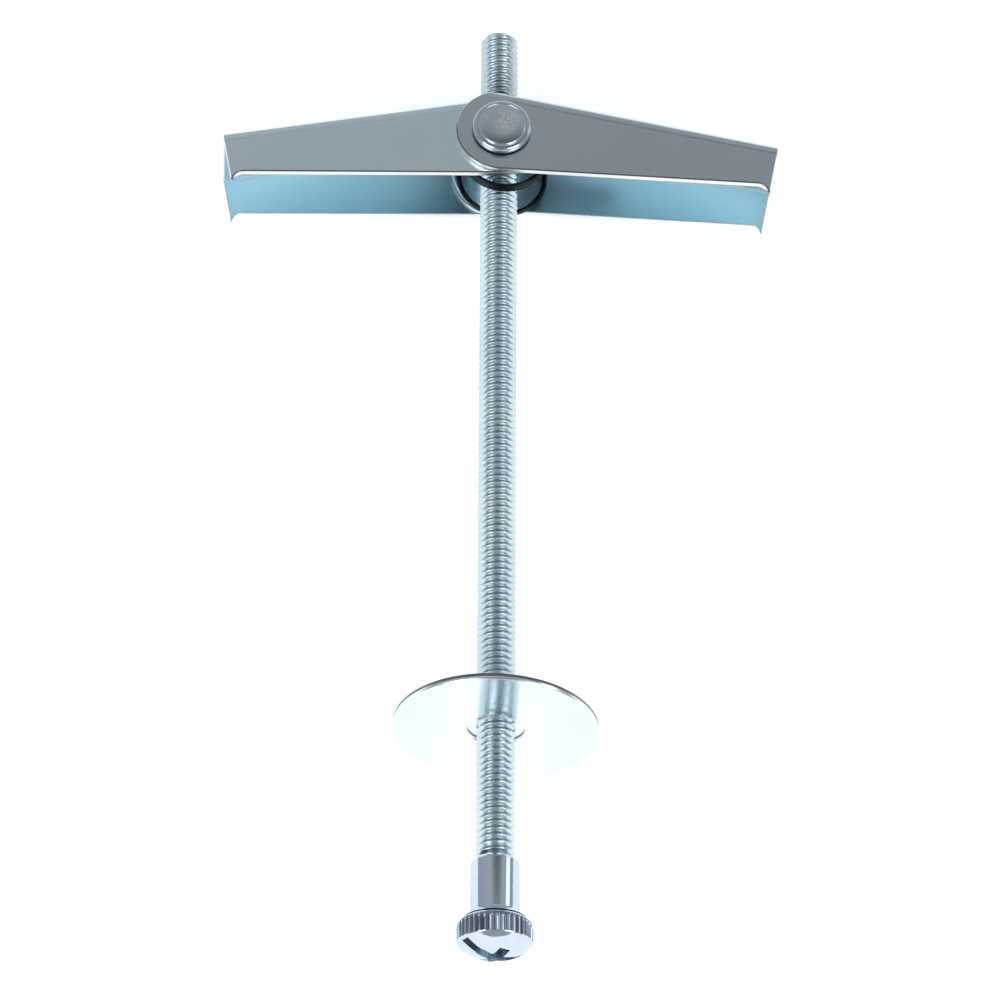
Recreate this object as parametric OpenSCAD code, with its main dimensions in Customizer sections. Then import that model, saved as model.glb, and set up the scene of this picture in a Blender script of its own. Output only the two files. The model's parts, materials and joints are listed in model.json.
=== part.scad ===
// Spring toggle anchor: a threaded rod with a folding two-wing toggle at one end,
// and a loose washer and a knurled sleeve nut at the other.
// It is modelled as it lies on a table: on the washer's rim and the lower rivet head.

/* [Threaded rod] */
// Length of the rod
rod_length = 100; // [90:1:160]
// Outside diameter of the thread
rod_d = 3.9; // [3.4:0.1:4.2]
// Chamfer on both ends of the rod
rod_chamfer = 0.45; // [0.2:0.05:0.8]
// Rod that stands out past the wings' pivot
rod_beyond = 14.1; // [12:0.1:20]

/* [Sleeve nut] */
// Outside diameter of the sleeve
sleeve_d = 4.85; // [4.8:0.05:5.2]
// Length of the sleeve, from its mouth to the knurled head
sleeve_length = 6.8; // [6:0.1:12]
// Rod that is screwed into the nut
sleeve_grip = 5.9; // [2:0.1:6]
// Length of the chamfer round the mouth
mouth_chamfer = 0.9; // [0.2:0.1:1.5]
// Wall left at the mouth outside the bore
mouth_wall = 0.1; // [0.05:0.05:0.3]
// Diameter over the knurled head
head_d = 7.5; // [7.1:0.1:10]
// Height of the knurled head, without its dome
head_h = 2.3; // [2.1:0.1:4]
// Height of the dome on the head's face
dome_h = 0.8; // [0.2:0.05:0.8]
// Chamfer on the head's edges
head_chamfer = 0.25; // [0.1:0.05:0.4]
// Number of ridges in the knurl
knurl_count = 40; // [24:1:48]
// Depth of the knurl
knurl_depth = 0.18; // [0.1:0.02:0.3]
// Length of the driver slot
slot_length = 6.9; // [5:0.1:7]
// Width of the driver slot
slot_w = 0.8; // [0.5:0.1:1.2]
// Depth of the driver slot below the face's rim
slot_depth = 1; // [0.6:0.1:1.2]
// Length over the arms of the driver cross
cross_length = 4.2; // [3:0.1:4.8]
// Width of the driver cross's arms
cross_w = 1; // [0.6:0.1:1.3]
// Depth of the driver cross below the face's rim
cross_depth = 1.2; // [0.8:0.1:1.3]
// Turn of the slot about the rod
slot_turn = 31; // [0:1:90]

/* [Washer] */
// Outside diameter
washer_d = 20.3; // [16:0.1:25]
// Diameter of the hole
washer_hole_d = 5.7; // [5.6:0.1:5.8]
// Thickness
washer_t = 0.65; // [0.5:0.05:1]
// Distance from the wings' pivot to the washer
washer_station = 65.85; // [62:0.05:66]
// Lean of the washer, its upper edge towards the wings
washer_lean = 5; // [0:0.5:6]
// Sideways lean of the washer
washer_sway = 2.2; // [0:0.1:3]
// Sideways place of the washer in its play on the rod
washer_offset = 0; // [-0.5:0.05:0.5]

/* [Wings] */
// Thickness of the sheet
sheet = 0.75; // [0.6:0.05:0.9]
// Radius of the round ears about the pivot
ear_r = 4.7; // [4.6:0.05:5.4]
// Length of each wing's straight back
wing_length = 28.5; // [24:0.1:32]
// Angle between a wing's back and its free edges
wing_taper = 9.1; // [6:0.1:10]
// How far the open wings droop towards the head
wing_droop = 1.75; // [0:0.05:6]
// Outside radius of the two bends
bend_r = 1; // [0.95:0.05:1.5]
// Length of the pointed tooth below the free edge
tooth_length = 1.1; // [0.4:0.1:1.2]
// Radius of the hollow behind the tooth
tooth_hollow_r = 1.1; // [1.1:0.1:2.4]
// Distance from the pivot at which the slot in the back ends
back_slot = 5; // [4.4:0.1:6]
// Gap between an open wing's back and the rod
stop_gap = 0.1; // [0.05:0.05:0.3]

/* [Trunnion nut] */
// Diameter of the barrel between the ears
barrel_d = 6; // [5.6:0.1:6.2]
// Length of the barrel
barrel_length = 6.9; // [6.8:0.1:8]
// Diameter of the necks that carry the ears
neck_d = 4; // [3:0.1:5]
// Diameter of the riveted heads
rivet_d = 6.1; // [5.4:0.1:7]
// Thickness of the riveted heads
rivet_h = 1; // [0.6:0.1:1.6]
// Width of the rounded edge of the riveted heads
rivet_edge = 0.4; // [0.2:0.05:0.5]

/* [Torsion spring] */
// Diameter of the wire
wire_d = 0.55; // [0.4:0.05:0.55]
// Outside diameter of the coils
coil_d = 9.6; // [9.4:0.1:9.6]
// Spacing of the turns
coil_spacing = 0.56; // [0.56:0.01:0.6]
// Offset of the coils sideways from the pivot
coil_shift = 0.45; // [0.2:0.05:0.45]
// Offset of the coils towards the head
coil_drop = 1; // [1:0.05:1.15]
// Length of the straight legs
leg_length = 12; // [8:0.5:16]

/* [Fits] */
// Radial clearance of the rod in the nut and in the trunnion
thread_fit = 0.05; // [0.02:0.01:0.1]
// Radial clearance of the ears on the necks
pivot_fit = 0.05; // [0.02:0.01:0.1]
// Gap from each ear to its neighbour along the pivot
ear_play = 0.05; // [0.02:0.01:0.1]
// Gap from the coils to the ears and from the slot to the ears
side_gap = 0.07; // [0.05:0.01:0.1]

/* [Hidden] */

// The part is built upright: the rod along Z, the pivot at the origin along Y,
// the wings spread along X, and the head down. lay() then puts it on the table.
$fn = 64;
eps = 0.01;
// Straight edges meet the round ears this far inside them
tangent_inset = 0.02;
wire_sides = 8;
wire_step = 12;
// Turns that put a flat of the rounding, not a corner, on the table
washer_turn = 2.7;
rivet_turn = 2.6;

rod_r = rod_d / 2;
bore_r = rod_r + thread_fit;
rod_low = rod_beyond - rod_length;

mouth_z = rod_low + sleeve_grip;
head_top = mouth_z - sleeve_length;
head_rim = head_top - head_h;
head_r = head_d / 2;
face_r = head_r - knurl_depth - head_chamfer;
dome_r = (face_r * face_r + dome_h * dome_h) / (2 * dome_h);
bore_end = head_top - head_chamfer;

inner_ear_in = barrel_length / 2 + ear_play;
inner_ear_out = inner_ear_in + sheet;
outer_ear_in = inner_ear_out + ear_play;
outer_ear_out = outer_ear_in + sheet;
rivet_in = outer_ear_out + ear_play;
rivet_out = rivet_in + rivet_h;

web_in = ear_r - sheet;
web_tilt = wing_taper + wing_droop;
tongue_start = (rod_r + stop_gap - web_in * sin(web_tilt)) / cos(web_tilt);
tongue_edge = inner_ear_in - side_gap;

wire_r = wire_d / 2;
coil_mean_r = coil_d / 2 - wire_r;
coil_out = barrel_length / 2 - side_gap / 2 - wire_r;

// The wire runs from the right leg round the front pair of turns, crosses beside the rod,
// and runs round the rear turns to the left leg. These are its angles round the pivot.
wire_start = 90 - web_tilt;
wire_cross = 720;
wire_end = 1170 + web_tilt;
cross_half = 20;

// Lying pose: the rod slopes down to the lower rivet head from the washer's rim.
washer_reach = washer_d / 2 * cos(washer_lean) + washer_t / 2 * sin(washer_lean);
washer_foot = washer_station + washer_d / 2 * sin(washer_lean);
rivet_flat_r = rivet_d / 2 - rivet_edge;
lay_tilt = atan((washer_reach - rivet_out) / (washer_foot + rivet_flat_r));
pivot_height = rivet_out * cos(lay_tilt) + rivet_flat_r * sin(lay_tilt);
lay_shift = (dome_h - head_rim - rod_beyond) / 2 * cos(lay_tilt);

module lay() {
    translate([0, lay_shift, pivot_height])
        rotate([-lay_tilt, 0, 0])
            rotate([-90, 0, 0])
                children();
}

// A plate across the wing from y0 to y1, with its outline drawn in X and Z.
module plate(y0, y1) {
    translate([0, y1, 0])
        rotate([90, 0, 0])
            linear_extrude(y1 - y0)
                children();
}

// ---- Threaded rod ----

module threaded_rod() {
    lay() color("#A9BCC6")
        rotate_extrude()
            polygon([
                [0, rod_low],
                [rod_r - rod_chamfer, rod_low],
                [rod_r, rod_low + rod_chamfer],
                [rod_r, rod_beyond - rod_chamfer],
                [rod_r - rod_chamfer, rod_beyond],
                [0, rod_beyond]
            ]);
}

// ---- Sleeve nut ----

// Outline of the nut with its bore, as it would be turned on a lathe.
module nut_turning() {
    sleeve_r = sleeve_d / 2;
    difference() {
        union() {
            rotate_extrude()
                polygon([
                    [0, mouth_z],
                    [bore_r + mouth_wall, mouth_z],
                    [sleeve_r, mouth_z - mouth_chamfer],
                    [sleeve_r, head_top - eps],
                    [0, head_top - eps]
                ]);
            rotate_extrude()
                polygon([
                    [0, head_top],
                    [head_r - head_chamfer, head_top],
                    [head_r, head_top - head_chamfer],
                    [head_r, head_rim + head_chamfer],
                    [face_r, head_rim],
                    [0, head_rim]
                ]);
            head_dome();
        }
        translate([0, 0, bore_end])
            cylinder(h = mouth_z - bore_end + eps, r = bore_r);
    }
}

module head_dome() {
    intersection() {
        translate([0, 0, head_rim - dome_h + dome_r])
            sphere(r = dome_r);
        translate([0, 0, head_rim - dome_h - eps])
            cylinder(h = dome_h + 2 * eps, r = face_r);
    }
}

// Star-shaped prism that leaves the straight ridges on the head.
module knurl_prism() {
    step = 360 / knurl_count;
    translate([0, 0, head_rim - 2 * dome_h])
        linear_extrude(head_h + 3 * dome_h)
            polygon([
                for (i = [0:2 * knurl_count - 1])
                    let (r = i % 2 == 0 ? head_r : head_r - knurl_depth)
                        [r * cos(i * step / 2), r * sin(i * step / 2)]
            ]);
}

module sleeve_envelope() {
    translate([0, 0, head_top])
        cylinder(h = 2 * sleeve_length, r = sleeve_d);
}

module driver_recess() {
    rotate([0, 0, slot_turn]) {
        translate([-slot_length / 2, -slot_w / 2, head_rim - 2 * dome_h])
            cube([slot_length, slot_w, 2 * dome_h + slot_depth]);
        intersection() {
            translate([0, 0, head_rim - dome_h])
                cylinder(h = dome_h + cross_depth, r1 = cross_length / 2, r2 = cross_w / 2);
            union() {
                for (turn = [0, 90])
                    rotate([0, 0, turn])
                        translate([-cross_length, -cross_w / 2, head_rim - 2 * dome_h])
                            cube([2 * cross_length, cross_w, 2 * dome_h + 2 * cross_depth]);
            }
        }
    }
}

module sleeve_nut() {
    lay() color("#C9D2DA")
        difference() {
            intersection() {
                nut_turning();
                union() {
                    knurl_prism();
                    sleeve_envelope();
                }
            }
            driver_recess();
        }
}

// ---- Washer ----

module washer() {
    lay() color("#DDE6EA")
        translate([washer_offset, 0, -washer_station])
            rotate([-washer_lean, washer_sway, 0])
                translate([0, 0, -washer_t / 2])
                    rotate([0, 0, washer_turn])
                        difference() {
                            cylinder(h = washer_t, d = washer_d);
                            translate([0, 0, -eps])
                                cylinder(h = washer_t + 2 * eps, d = washer_hole_d);
                        }
}

// ---- Wings ----

// Side outline of a wing beyond its round ears, with the straight back level at the top and
// the pivot at the origin. The free edge leaves the ear at a tangent and closes in on the back.
module wing_outline() {
    tip = wing_length;
    edge_at_tip = (-ear_r + tangent_inset + tip * sin(wing_taper)) / cos(wing_taper);
    hollow_run = tooth_length * tan(wing_taper)
        + sqrt(2 * tooth_hollow_r * tooth_length - tooth_length * tooth_length);
    difference() {
        polygon([
            [0, ear_r - tangent_inset],
            [tip, ear_r - tangent_inset],
            [tip, edge_at_tip - tooth_length / cos(wing_taper)],
            along_edge(tip, edge_at_tip, hollow_run, tooth_length),
            along_edge(tip, edge_at_tip, hollow_run, 0),
            (ear_r - tangent_inset) * [sin(wing_taper), -cos(wing_taper)],
            [0, 0]
        ]);
        // Hollow on the inner side of the tooth
        translate(along_edge(tip, edge_at_tip, hollow_run, tooth_hollow_r - tangent_inset))
            circle(r = tooth_hollow_r);
    }
}

// A point measured back from the tip along the free edge, and down from it.
function along_edge(tip, edge_at_tip, back, down) =
    [tip, edge_at_tip]
    - back * [cos(wing_taper), sin(wing_taper)]
    + down * [sin(wing_taper), -cos(wing_taper)];

// Cross-section of the channel: Y across, the back at the top.
module channel_section(low, high, top, r) {
    depth = 3 * ear_r;
    translate([low, -depth])
        square([high - low, depth + top - r]);
    translate([low + r, top - r - eps])
        square([high - low - 2 * r, r + eps]);
    for (y = [low + r, high - r])
        translate([y, top - r])
            circle(r = r);
}

// A stretch of the wing with the same cross-section all along.
module run(start) {
    translate([start, 0, 0])
        rotate([90, 0, 90])
            linear_extrude(wing_length + 4 * ear_r - start)
                children();
}

module whole_section() {
    difference() {
        channel_section(-outer_ear_out, inner_ear_out, ear_r, bend_r);
        channel_section(-outer_ear_in, inner_ear_in, web_in, bend_r - sheet);
    }
}

module walls_section() {
    difference() {
        channel_section(-outer_ear_out, inner_ear_out, ear_r, bend_r);
        translate([-outer_ear_in, -4 * ear_r])
            square([outer_ear_in + inner_ear_in, 8 * ear_r]);
    }
}

// The two walls run past the pivot. A tongue of the back runs in almost to the rod,
// beside the slot for the other wing's inner ear, and the whole back starts past the slot.
module channel() {
    run(-2 * ear_r) walls_section();
    run(tongue_start)
        intersection() {
            whole_section();
            translate([-tongue_edge, -4 * ear_r])
                square([tongue_edge + 2 * inner_ear_out, 8 * ear_r]);
        }
    run(back_slot) whole_section();
}

// One wing in its open place on the +X side, its outer ear in front.
module wing() {
    rotate([0, web_tilt, 0])
        difference() {
            intersection() {
                union() {
                    plate(-outer_ear_out - sheet, inner_ear_out + sheet) wing_outline();
                    plate(-outer_ear_out - sheet, inner_ear_out + sheet) circle(r = ear_r);
                }
                channel();
            }
            // Pivot holes through both ears
            rotate([90, 0, 0])
                cylinder(h = 3 * outer_ear_out, r = neck_d / 2 + pivot_fit, center = true);
        }
}

module right_wing() {
    lay() color("#8C9A9F")
        wing();
}

module left_wing() {
    lay() color("#8FA0A6")
        rotate([0, 0, 180])
            wing();
}

// ---- Trunnion nut ----

module trunnion_nut() {
    rivet_r = rivet_d / 2;
    lay() color("#7F8A92")
        difference() {
            rotate([90, 0, 0]) {
                cylinder(h = barrel_length, d = barrel_d, center = true);
                cylinder(h = 2 * rivet_in + 2 * eps, d = neck_d, center = true);
                for (side = [0, 180])
                    rotate([side, 0, rivet_turn])
                        rotate_extrude()
                            polygon([
                                [0, rivet_in],
                                [rivet_r, rivet_in],
                                [rivet_r, rivet_out - rivet_edge],
                                [rivet_r - rivet_edge, rivet_out],
                                [0, rivet_out]
                            ]);
            }
            cylinder(h = 2 * barrel_d, r = bore_r, center = true);
        }
}

// ---- Torsion spring ----

// Place of the wire across the part, at angle t.
function front_y(t) = coil_spacing * (t - wire_start) / 360 - coil_out;
function rear_y(t) = coil_out - coil_spacing * (wire_end - t) / 360;
function blend(k) = k * k * (3 - 2 * k);
function wire_y(t) =
    t < wire_cross - cross_half ? front_y(t)
    : t > wire_cross + cross_half ? rear_y(t)
    : let (k = blend((t - wire_cross + cross_half) / (2 * cross_half)))
        (1 - k) * front_y(wire_cross - cross_half) + k * rear_y(wire_cross + cross_half);

function outward(t) = [cos(t), 0, sin(t)];
function wire_point(t) = coil_mean_r * outward(t) + [0, wire_y(t), 0];
function unit(v) = v / norm(v);
function wire_heading(t) = unit(wire_point(t + 1) - wire_point(t - 1));
function leg_heading(t) = [-sin(t), 0, cos(t)];

// One ring of points round the wire.
function wire_ring(centre, heading, out) = [
    for (i = [0:wire_sides - 1])
        let (a = i * 360 / wire_sides)
            centre + wire_r * (cos(a) * out + sin(a) * cross(heading, out))
];

module torsion_spring() {
    turns = [for (t = [wire_start:wire_step:wire_end]) t];
    rings = concat(
        [wire_ring(wire_point(wire_start) - leg_length * leg_heading(wire_start),
            leg_heading(wire_start), outward(wire_start))],
        [for (t = turns) wire_ring(wire_point(t), wire_heading(t), outward(t))],
        [wire_ring(wire_point(wire_end), leg_heading(wire_end), outward(wire_end))],
        [wire_ring(wire_point(wire_end) + leg_length * leg_heading(wire_end),
            leg_heading(wire_end), outward(wire_end))]
    );
    last = len(rings) - 1;
    lay() color("#2B2F36")
        translate([coil_shift, 0, -coil_drop])
            polyhedron(
                points = [for (ring = rings) each ring],
                faces = concat(
                    [[for (i = [0:wire_sides - 1]) i]],
                    [
                        for (k = [0:last - 1], i = [0:wire_sides - 1])
                            let (j = (i + 1) % wire_sides, low = k * wire_sides, high = low + wire_sides)
                                [low + i, high + i, high + j, low + j]
                    ],
                    [[for (i = [wire_sides - 1:-1:0]) last * wire_sides + i]]
                )
            );
}

threaded_rod();
sleeve_nut();
washer();
left_wing();
right_wing();
trunnion_nut();
torsion_spring();
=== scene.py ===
"""Dresses the spring toggle bolt: threaded rod, sleeve nut, washer, wings, trunnion nut and spring.

Every piece is modelled upright in millimetres, in the bolt's own frame: the rod along Z with the
wings' pivot at the origin, the pivot along Y, the wings spread along X and the head below. Each
finished mesh is then laid where the frame's joints say, in metres. Sizes of the pieces and of the
camera's place are in millimetres and degrees, and those of the floor and the lamps in metres.
"""
import json
import logging
import math
from dataclasses import dataclass, field
from enum import Enum
from typing import Callable, Sequence

import bmesh
import bpy
from mathutils import Matrix, Vector


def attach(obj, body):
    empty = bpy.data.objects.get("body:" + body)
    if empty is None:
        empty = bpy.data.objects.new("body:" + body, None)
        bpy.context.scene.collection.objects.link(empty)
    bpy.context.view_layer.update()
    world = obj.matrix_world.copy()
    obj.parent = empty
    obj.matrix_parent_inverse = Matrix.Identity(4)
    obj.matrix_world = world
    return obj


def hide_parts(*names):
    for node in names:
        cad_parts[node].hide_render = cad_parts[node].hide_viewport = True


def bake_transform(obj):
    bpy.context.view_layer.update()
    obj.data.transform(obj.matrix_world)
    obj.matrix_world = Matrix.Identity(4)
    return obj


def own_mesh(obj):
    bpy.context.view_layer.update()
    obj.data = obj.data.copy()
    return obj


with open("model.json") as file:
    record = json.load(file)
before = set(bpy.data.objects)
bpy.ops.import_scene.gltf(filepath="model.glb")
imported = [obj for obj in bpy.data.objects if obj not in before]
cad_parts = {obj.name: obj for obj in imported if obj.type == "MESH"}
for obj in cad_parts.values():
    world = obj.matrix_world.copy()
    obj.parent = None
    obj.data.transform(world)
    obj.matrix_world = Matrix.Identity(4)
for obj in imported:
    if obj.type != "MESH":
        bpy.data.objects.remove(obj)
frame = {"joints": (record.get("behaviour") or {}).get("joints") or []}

log = logging.getLogger("toggle_bolt")

# Corners that are nearer than this, in millimetres, count as one
WELD_MM = 0.0005
Point = tuple[float, float, float]
Flat = tuple[float, float]
# Takes a middle and a direction, and says whether that vertex, edge or face is meant
Test = Callable[[Vector, Vector], bool]


class Body(Enum):
    """Bodies of the frame that the pieces ride on."""

    ROD = "rod"
    NUT = "nut"
    WASHER = "washer"
    TOGGLE = "toggle"
    LEFT_WING = "left_wing"
    RIGHT_WING = "right_wing"


class Cut(Enum):
    """What a boolean does with the second solid."""

    TAKE_AWAY = "DIFFERENCE"
    KEEP_COMMON = "INTERSECT"


# ---- Colour and node helpers ----


def linear(hex_colour: str) -> tuple[float, float, float, float]:
    """Turn an sRGB hex value into a linear colour.

    Args:
        hex_colour: Six hex digits, with or without a leading hash.

    Returns:
        Red, green, blue and alpha, linear.
    """
    digits = hex_colour.lstrip("#")
    channels = [int(digits[i:i + 2], 16) / 255 for i in (0, 2, 4)]
    curve = [c / 12.92 if c <= 0.04045 else ((c + 0.055) / 1.055) ** 2.4 for c in channels]
    return curve[0], curve[1], curve[2], 1.0


def add_node(tree: bpy.types.NodeTree, kind: str, settings: dict | None = None,
             links: dict | None = None) -> bpy.types.Node:
    """Add one node, set it up and link its inputs.

    Args:
        tree: Node tree that gets the node.
        kind: Blender's name of the node type.
        settings: Attributes by name, and input values by socket name or number.
        links: Output sockets by the name or number of the input they go to.

    Returns:
        The new node.
    """
    node = tree.nodes.new(kind)
    for key, value in (settings or {}).items():
        if isinstance(key, str) and hasattr(node, key):
            setattr(node, key, value)
        else:
            node.inputs[key].default_value = value
    for key, output in (links or {}).items():
        tree.links.new(output, node.inputs[key])
    return node


def colour_steps(node: bpy.types.Node, steps: Sequence[tuple[float, str]]) -> None:
    """Give a colour ramp its stops.

    Args:
        node: Colour ramp.
        steps: Position and hex colour of each stop, in rising order.
    """
    ramp = node.color_ramp
    while len(ramp.elements) > 1:
        ramp.elements.remove(ramp.elements[-1])
    for index, (place, colour) in enumerate(steps):
        stop = ramp.elements[0] if index == 0 else ramp.elements.new(place)
        stop.position = place
        stop.color = linear(colour)


def new_material(name: str) -> tuple[bpy.types.Material, bpy.types.NodeTree, bpy.types.Node]:
    """Make a material.

    Args:
        name: Its name, in a maker's plain words.

    Returns:
        The material, its node tree and its shader.
    """
    material = bpy.data.materials.new(name)
    material.use_nodes = True
    return material, material.node_tree, material.node_tree.nodes["Principled BSDF"]


# ---- Bench: small modelling moves on one piece ----


def clear_selection() -> None:
    """Leave edit mode and deselect everything."""
    if bpy.context.mode != "OBJECT":
        bpy.ops.object.mode_set(mode="OBJECT")
    bpy.ops.object.select_all(action="DESELECT")


def pick(piece: bpy.types.Object) -> None:
    """Make the piece the only one selected, and active."""
    clear_selection()
    piece.select_set(True)
    bpy.context.view_layer.objects.active = piece


def open_for_edit(piece: bpy.types.Object) -> None:
    """Enter edit mode on the piece with nothing selected."""
    pick(piece)
    bpy.ops.object.mode_set(mode="EDIT")
    bpy.ops.mesh.select_all(action="DESELECT")


def close_edit() -> None:
    """Go back to object mode."""
    bpy.ops.object.mode_set(mode="OBJECT")


def fix_place() -> None:
    """Move the place, turn and scale of what is selected into its mesh."""
    bpy.ops.object.transform_apply(location=True, rotation=True, scale=True)


def mark(piece: bpy.types.Object, kind: str, test: Test) -> int:
    """Select vertices, edges or faces of a piece in edit mode by their place and direction.

    Args:
        piece: Piece that is open in edit mode.
        kind: "VERT", "EDGE" or "FACE".
        test: Takes the middle, and a vertex's place, an edge's direction or a face's normal.

    Returns:
        How many are selected.
    """
    bpy.ops.mesh.select_mode(type=kind)
    mesh = bmesh.from_edit_mesh(piece.data)
    found = 0
    if kind == "VERT":
        for vertex in mesh.verts:
            vertex.select = test(vertex.co, vertex.co)
            found += vertex.select
    elif kind == "EDGE":
        for edge in mesh.edges:
            low, high = (v.co for v in edge.verts)
            chosen = test((low + high) / 2, (high - low).normalized())
            edge.select_set(chosen)
            found += chosen
    else:
        for face in mesh.faces:
            chosen = test(face.calc_center_median(), face.normal)
            face.select_set(chosen)
            found += chosen
    bmesh.update_edit_mesh(piece.data)
    return found


def line(name: str, points: Sequence[Point]) -> bpy.types.Object:
    """Draw an open chain of edges by extruding one vertex from point to point.

    Args:
        name: Name of the new piece.
        points: Corners of the chain, in millimetres.

    Returns:
        The piece that holds the chain.
    """
    clear_selection()
    bpy.ops.mesh.primitive_plane_add(size=1.0)
    piece = bpy.context.object
    piece.name = name
    bpy.ops.object.mode_set(mode="EDIT")
    bpy.ops.mesh.select_all(action="SELECT")
    bpy.ops.mesh.merge(type="CENTER")
    bpy.ops.mesh.select_mode(type="VERT")
    bpy.ops.mesh.select_all(action="SELECT")
    bpy.ops.transform.translate(value=points[0])
    for here, there in zip(points, points[1:]):
        step = Vector(there) - Vector(here)
        bpy.ops.mesh.extrude_vertices_move(TRANSFORM_OT_translate={"value": step})
    close_edit()
    return piece


def merge_and_turn_out(piece: bpy.types.Object) -> None:
    """Merge doubles and make the normals of a closed shape point outwards.

    Args:
        piece: Closed shape.
    """
    open_for_edit(piece)
    bpy.ops.mesh.select_all(action="SELECT")
    bpy.ops.mesh.remove_doubles(threshold=WELD_MM)
    bpy.ops.mesh.normals_make_consistent(inside=False)
    close_edit()


def turned(name: str, profile: Sequence[Point], steps: int, axis: Point = (0, 0, 1)) -> bpy.types.Object:
    """Turn a profile about an axis through the origin, as on a lathe.

    Args:
        name: Name of the new piece.
        profile: Chain of points that starts and ends on the axis, or meets itself.
        steps: Faces round the axis.
        axis: Axis of the lathe.

    Returns:
        The closed solid.
    """
    piece = line(name, profile)
    open_for_edit(piece)
    bpy.ops.mesh.select_all(action="SELECT")
    bpy.ops.mesh.spin(steps=steps, angle=math.tau, center=(0, 0, 0), axis=axis)
    close_edit()
    merge_and_turn_out(piece)
    return piece


def block(name: str, low: Point, high: Point) -> bpy.types.Object:
    """Make a block between two corners.

    Args:
        name: Name of the new piece.
        low: Lowest corner.
        high: Highest corner.

    Returns:
        The block.
    """
    clear_selection()
    middle = (Vector(low) + Vector(high)) / 2
    bpy.ops.mesh.primitive_cube_add(size=1.0, location=middle)
    piece = bpy.context.object
    piece.name = name
    piece.scale = Vector(high) - Vector(low)
    fix_place()
    return piece


def bar(name: str, radius: float, low: Vector, high: Vector, sides: int = 96) -> bpy.types.Object:
    """Make a round bar between two points on its axis.

    Args:
        name: Name of the new piece.
        radius: Radius of the bar.
        low: Middle of one end.
        high: Middle of the other end.
        sides: Faces round the bar.

    Returns:
        The bar.
    """
    clear_selection()
    run = high - low
    bpy.ops.mesh.primitive_cylinder_add(vertices=sides, radius=radius, depth=run.length)
    piece = bpy.context.object
    piece.name = name
    turn = run.to_track_quat("Z", "Y").to_matrix().to_4x4()
    piece.matrix_world = Matrix.Translation((low + high) / 2) @ turn
    fix_place()
    return piece


def finish_with(piece: bpy.types.Object, kind: str, **settings) -> None:
    """Add a modifier and apply it.

    Args:
        piece: Piece that gets it.
        kind: Blender's name of the modifier's type.
        **settings: Its attributes by name.
    """
    pick(piece)
    bpy.ops.object.modifier_add(type=kind)
    modifier = piece.modifiers[-1]
    for key, value in settings.items():
        setattr(modifier, key, value)
    bpy.ops.object.modifier_apply(modifier=modifier.name)


def cut(piece: bpy.types.Object, tool: bpy.types.Object, how: Cut = Cut.TAKE_AWAY) -> None:
    """Combine a piece with a second solid, which is used up."""
    finish_with(piece, "BOOLEAN", operation=how.value, solver="EXACT", object=tool)
    bpy.data.objects.remove(tool)


def second_slot(piece: bpy.types.Object, test: Test, slot: int = 1) -> None:
    """Put the faces that pass a test in a further material slot.

    Args:
        piece: Piece in object mode.
        test: Takes a face's middle and normal.
        slot: Number of the slot, where the first is 0.
    """
    pick(piece)
    while len(piece.material_slots) <= slot:
        bpy.ops.object.material_slot_add()
    open_for_edit(piece)
    mark(piece, "FACE", test)
    piece.active_material_index = slot
    bpy.ops.object.material_slot_assign()
    close_edit()


def ease_edges(piece: bpy.types.Object, width: float, segments: int, angle: float) -> None:
    """Round every edge that is sharper than the angle, as tumbling and plating leave it.

    Args:
        piece: Piece to round.
        width: Width of the rounding.
        segments: Faces across the rounding.
        angle: Angle in degrees from which an edge is rounded.
    """
    # Cuts leave a few tiny edges, and a clamp would shrink every rounding to the smallest of them
    finish_with(piece, "BEVEL", width=width, segments=segments, limit_method="ANGLE",
                angle_limit=math.radians(angle), use_clamp_overlap=False)


def arc(centre: Flat, radius: float, start: float, end: float, steps: int) -> list[Flat]:
    """Points along an arc, with its angles in degrees."""
    angles = [math.radians(start + (end - start) * i / steps) for i in range(steps + 1)]
    return [(centre[0] + radius * math.cos(a), centre[1] + radius * math.sin(a)) for a in angles]


# ---- Where the bolt lies ----


@dataclass(frozen=True)
class Rest:
    """The place and slope at which the bolt lies, as the frame's joints give them."""

    pivot: Vector
    along: Vector
    up: Vector

    @classmethod
    def from_joints(cls, joints: list[dict]) -> "Rest":
        """Read the pivot, the rod's direction and the pivot's direction from the joints."""
        named = {joint["name"]: joint for joint in joints}
        fold = named["left_wing_fold"]
        return cls(Vector(fold["pos_m"]), Vector(named["nut_screw"]["axis"]), Vector(fold["axis"]))

    def matrix(self) -> Matrix:
        """Matrix from the bolt's frame in millimetres to the frame in metres."""
        columns = (self.along.cross(self.up), -self.up, self.along)
        turn = Matrix([[column[row] for column in columns] for row in range(3)]).to_4x4()
        return Matrix.Translation(self.pivot) @ turn @ Matrix.Scale(0.001, 4)

    def point(self, place: Point) -> Vector:
        """A place in the bolt's frame, as one in the frame."""
        return self.matrix() @ Vector(place)


# ---- Finishes ----


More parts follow.
